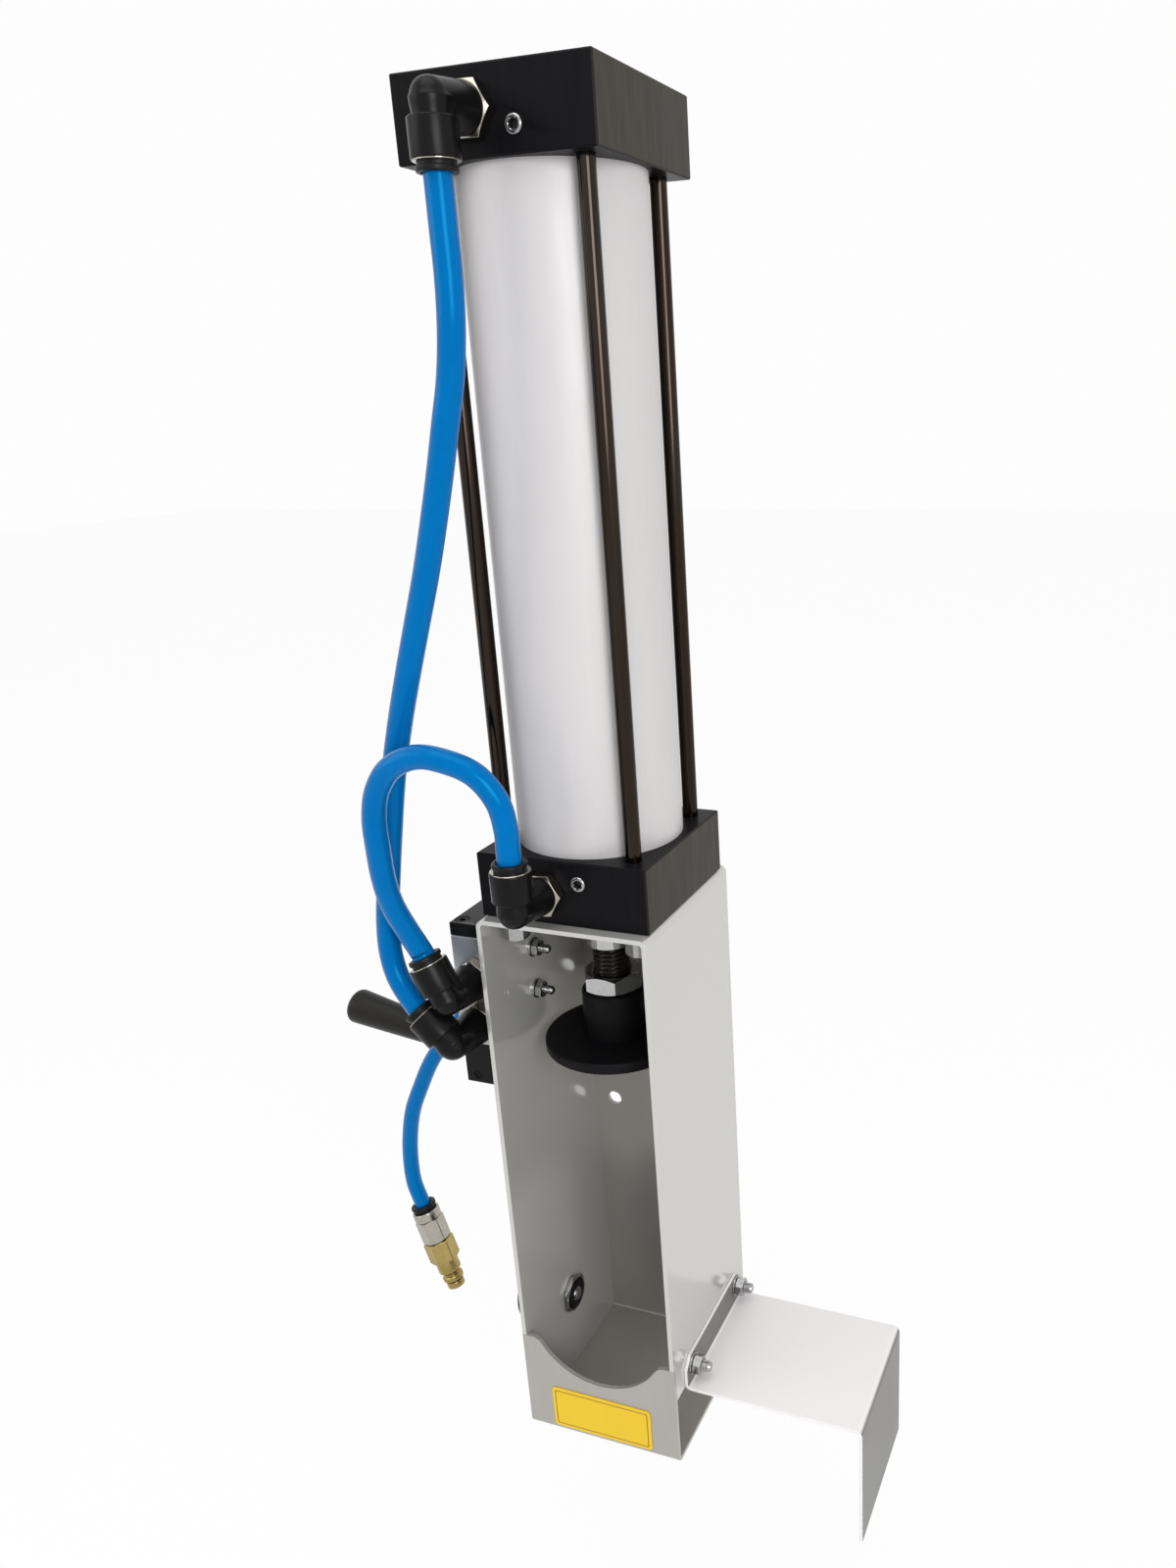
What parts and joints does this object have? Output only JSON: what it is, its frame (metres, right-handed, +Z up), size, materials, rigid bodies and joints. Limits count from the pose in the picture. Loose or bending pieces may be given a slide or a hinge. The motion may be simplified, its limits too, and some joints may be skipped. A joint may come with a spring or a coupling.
{
  "type": "pneumatic can crusher",
  "caption": "Wall-hung pneumatic can crusher: an air cylinder with tie rods drives a round plate down a folded sheet chute, worked by a hand-lever valve.",
  "frame": {"origin": "centre of the four wall-screw holes, on the outer face of the back wall", "axes": "+Z up along the cylinder, +Y out of the back into the wall that it hangs on, +X to the right as seen from the front, where the crushed cans leave"},
  "size_m": [0.261, 0.1135, 0.589],
  "materials": {
    "chute_sheet": "bright satin stainless sheet",
    "tray_sheet": "satin stainless sheet, a little greyer",
    "yellow_plate": "plain yellow plate",
    "guard_sheet": "white paint",
    "zinc": "bright zinc",
    "black_head": "black anodised",
    "tube_alu": "clear anodised",
    "seal": "matt",
    "dark_rod": "dark oxide",
    "bronze": "sintered",
    "chrome": "polished",
    "black_steel": "black",
    "nickel": "nickel plate",
    "black_plastic": "semi-gloss black",
    "collar": "matt black",
    "brass": "dull brass",
    "blue_tube": "smooth blue",
    "valve_alu": "satin",
    "grip": "semi-gloss black"
  },
  "bodies": {
    "chute": {"side_shell": "chute_sheet", "back_tray": "tray_sheet", "lip_plate": "yellow_plate", "exit_guard": "guard_sheet", "guard_screws": "zinc", "guard_nuts": "zinc", "washers": "zinc", "lower_head": "black_head", "upper_head": "black_head", "cylinder_tube": "tube_alu", "tube_seals": "seal", "tie_rods": "dark_rod", "tie_rod_nuts": "zinc", "mounting_screws": "zinc", "rod_bush": "bronze", "rod_wiper": "seal", "elbow_studs": "nickel", "elbow_upper_port": "black_plastic", "elbow_lower_port": "black_plastic", "elbow_valve_upper": "black_plastic", "elbow_valve_lower": "black_plastic", "elbow_supply": "black_plastic", "plug_fitting": "nickel", "air_plug": "brass", "air_tube_upper": "blue_tube", "air_tube_lower": "blue_tube", "supply_tube": "blue_tube", "valve_body": "valve_alu", "valve_cap": "black_plastic", "valve_end_screws": "black_steel", "valve_screws": "zinc", "valve_nuts": "zinc", "lever_block": "black_plastic", "lever_pin": "black_steel", "ejector_housing": "black_steel", "ejector_nut": "zinc", "ejector_spring": "zinc"},
    "ram": {"piston": "tube_alu", "piston_seals": "seal", "piston_nut": "zinc", "piston_rod": "chrome", "rod_nut": "chrome", "plate_hub": "black_steel", "crush_plate": "black_steel", "plate_screw": "zinc"},
    "needle_upper": {"needle_screw_upper": "zinc"},
    "needle_lower": {"needle_screw_lower": "zinc"},
    "lever": {"lever_rod": "chrome", "lever_grip": "grip"},
    "spool": {"spool": "chrome", "spool_seals": "seal"},
    "ejector": {"ejector_plunger": "zinc", "ejector_knob": "black_plastic"},
    "collar_upper": {"collar_upper_port": "collar"},
    "collar_lower": {"collar_lower_port": "collar"},
    "collar_outlet_upper": {"collar_valve_upper": "collar"},
    "collar_outlet_lower": {"collar_valve_lower": "collar"},
    "collar_inlet": {"collar_supply": "collar"},
    "collar_coupling": {"collar_plug": "collar"}
  },
  "joints": [
    {"name": "ram_slide", "type": "slide", "parent": "chute", "child": "ram", "axis": [0, 0, -1], "range_m": [0, 0.175]},
    {"name": "lever_hinge", "type": "hinge", "parent": "chute", "child": "lever", "pos_m": [-0.054, -0.055, 0.0136], "axis": [0, 1, 0], "range_deg": [-20, 0]},
    {"name": "spool_slide", "type": "slide", "parent": "chute", "child": "spool", "axis": [0, 0, 1], "range_m": [0, 0.0025]},
    {"name": "ejector_slide", "type": "slide", "parent": "chute", "child": "ejector", "axis": [-1, 0, 0], "range_m": [0, 0.004], "stiffness_N_per_m": 500, "springref_m": -0.004, "deforming": ["ejector_spring"]},
    {"name": "needle_upper_turn", "type": "hinge", "parent": "chute", "child": "needle_upper", "pos_m": [0.008, -0.08, 0.37725], "axis": [0, 1, 0], "range_deg": [-180, 180]},
    {"name": "needle_lower_turn", "type": "hinge", "parent": "chute", "child": "needle_lower", "pos_m": [0.008, -0.08, 0.11375], "axis": [0, 1, 0], "range_deg": [-180, 180]},
    {"name": "collar_upper_push", "type": "slide", "parent": "chute", "child": "collar_upper", "axis": [0, 0, 1], "range_m": [0, 0.0012], "stiffness_N_per_m": 100, "springref_m": -0.0005},
    {"name": "collar_lower_push", "type": "slide", "parent": "chute", "child": "collar_lower", "axis": [0, 0, -1], "range_m": [0, 0.0012], "stiffness_N_per_m": 100, "springref_m": -0.0005},
    {"name": "collar_outlet_upper_push", "type": "slide", "parent": "chute", "child": "collar_outlet_upper", "axis": [0.4226, 0, -0.9063], "range_m": [0, 0.0012], "stiffness_N_per_m": 100, "springref_m": -0.0005},
    {"name": "collar_outlet_lower_push", "type": "slide", "parent": "chute", "child": "collar_outlet_lower", "axis": [0.7071, 0, -0.7071], "range_m": [0, 0.0012], "stiffness_N_per_m": 100, "springref_m": -0.0005},
    {"name": "collar_inlet_push", "type": "slide", "parent": "chute", "child": "collar_inlet", "axis": [0.766, 0, 0.6428], "range_m": [0, 0.0012], "stiffness_N_per_m": 100, "springref_m": -0.0005},
    {"name": "collar_coupling_push", "type": "slide", "parent": "chute", "child": "collar_coupling", "axis": [0.2924, 0, -0.9563], "range_m": [0, 0.0012], "stiffness_N_per_m": 100, "springref_m": -0.0005}
  ],
  "couplings": [
    {"joint": "spool_slide", "follows": "lever_hinge", "m_per_rad": -0.007}
  ]
}
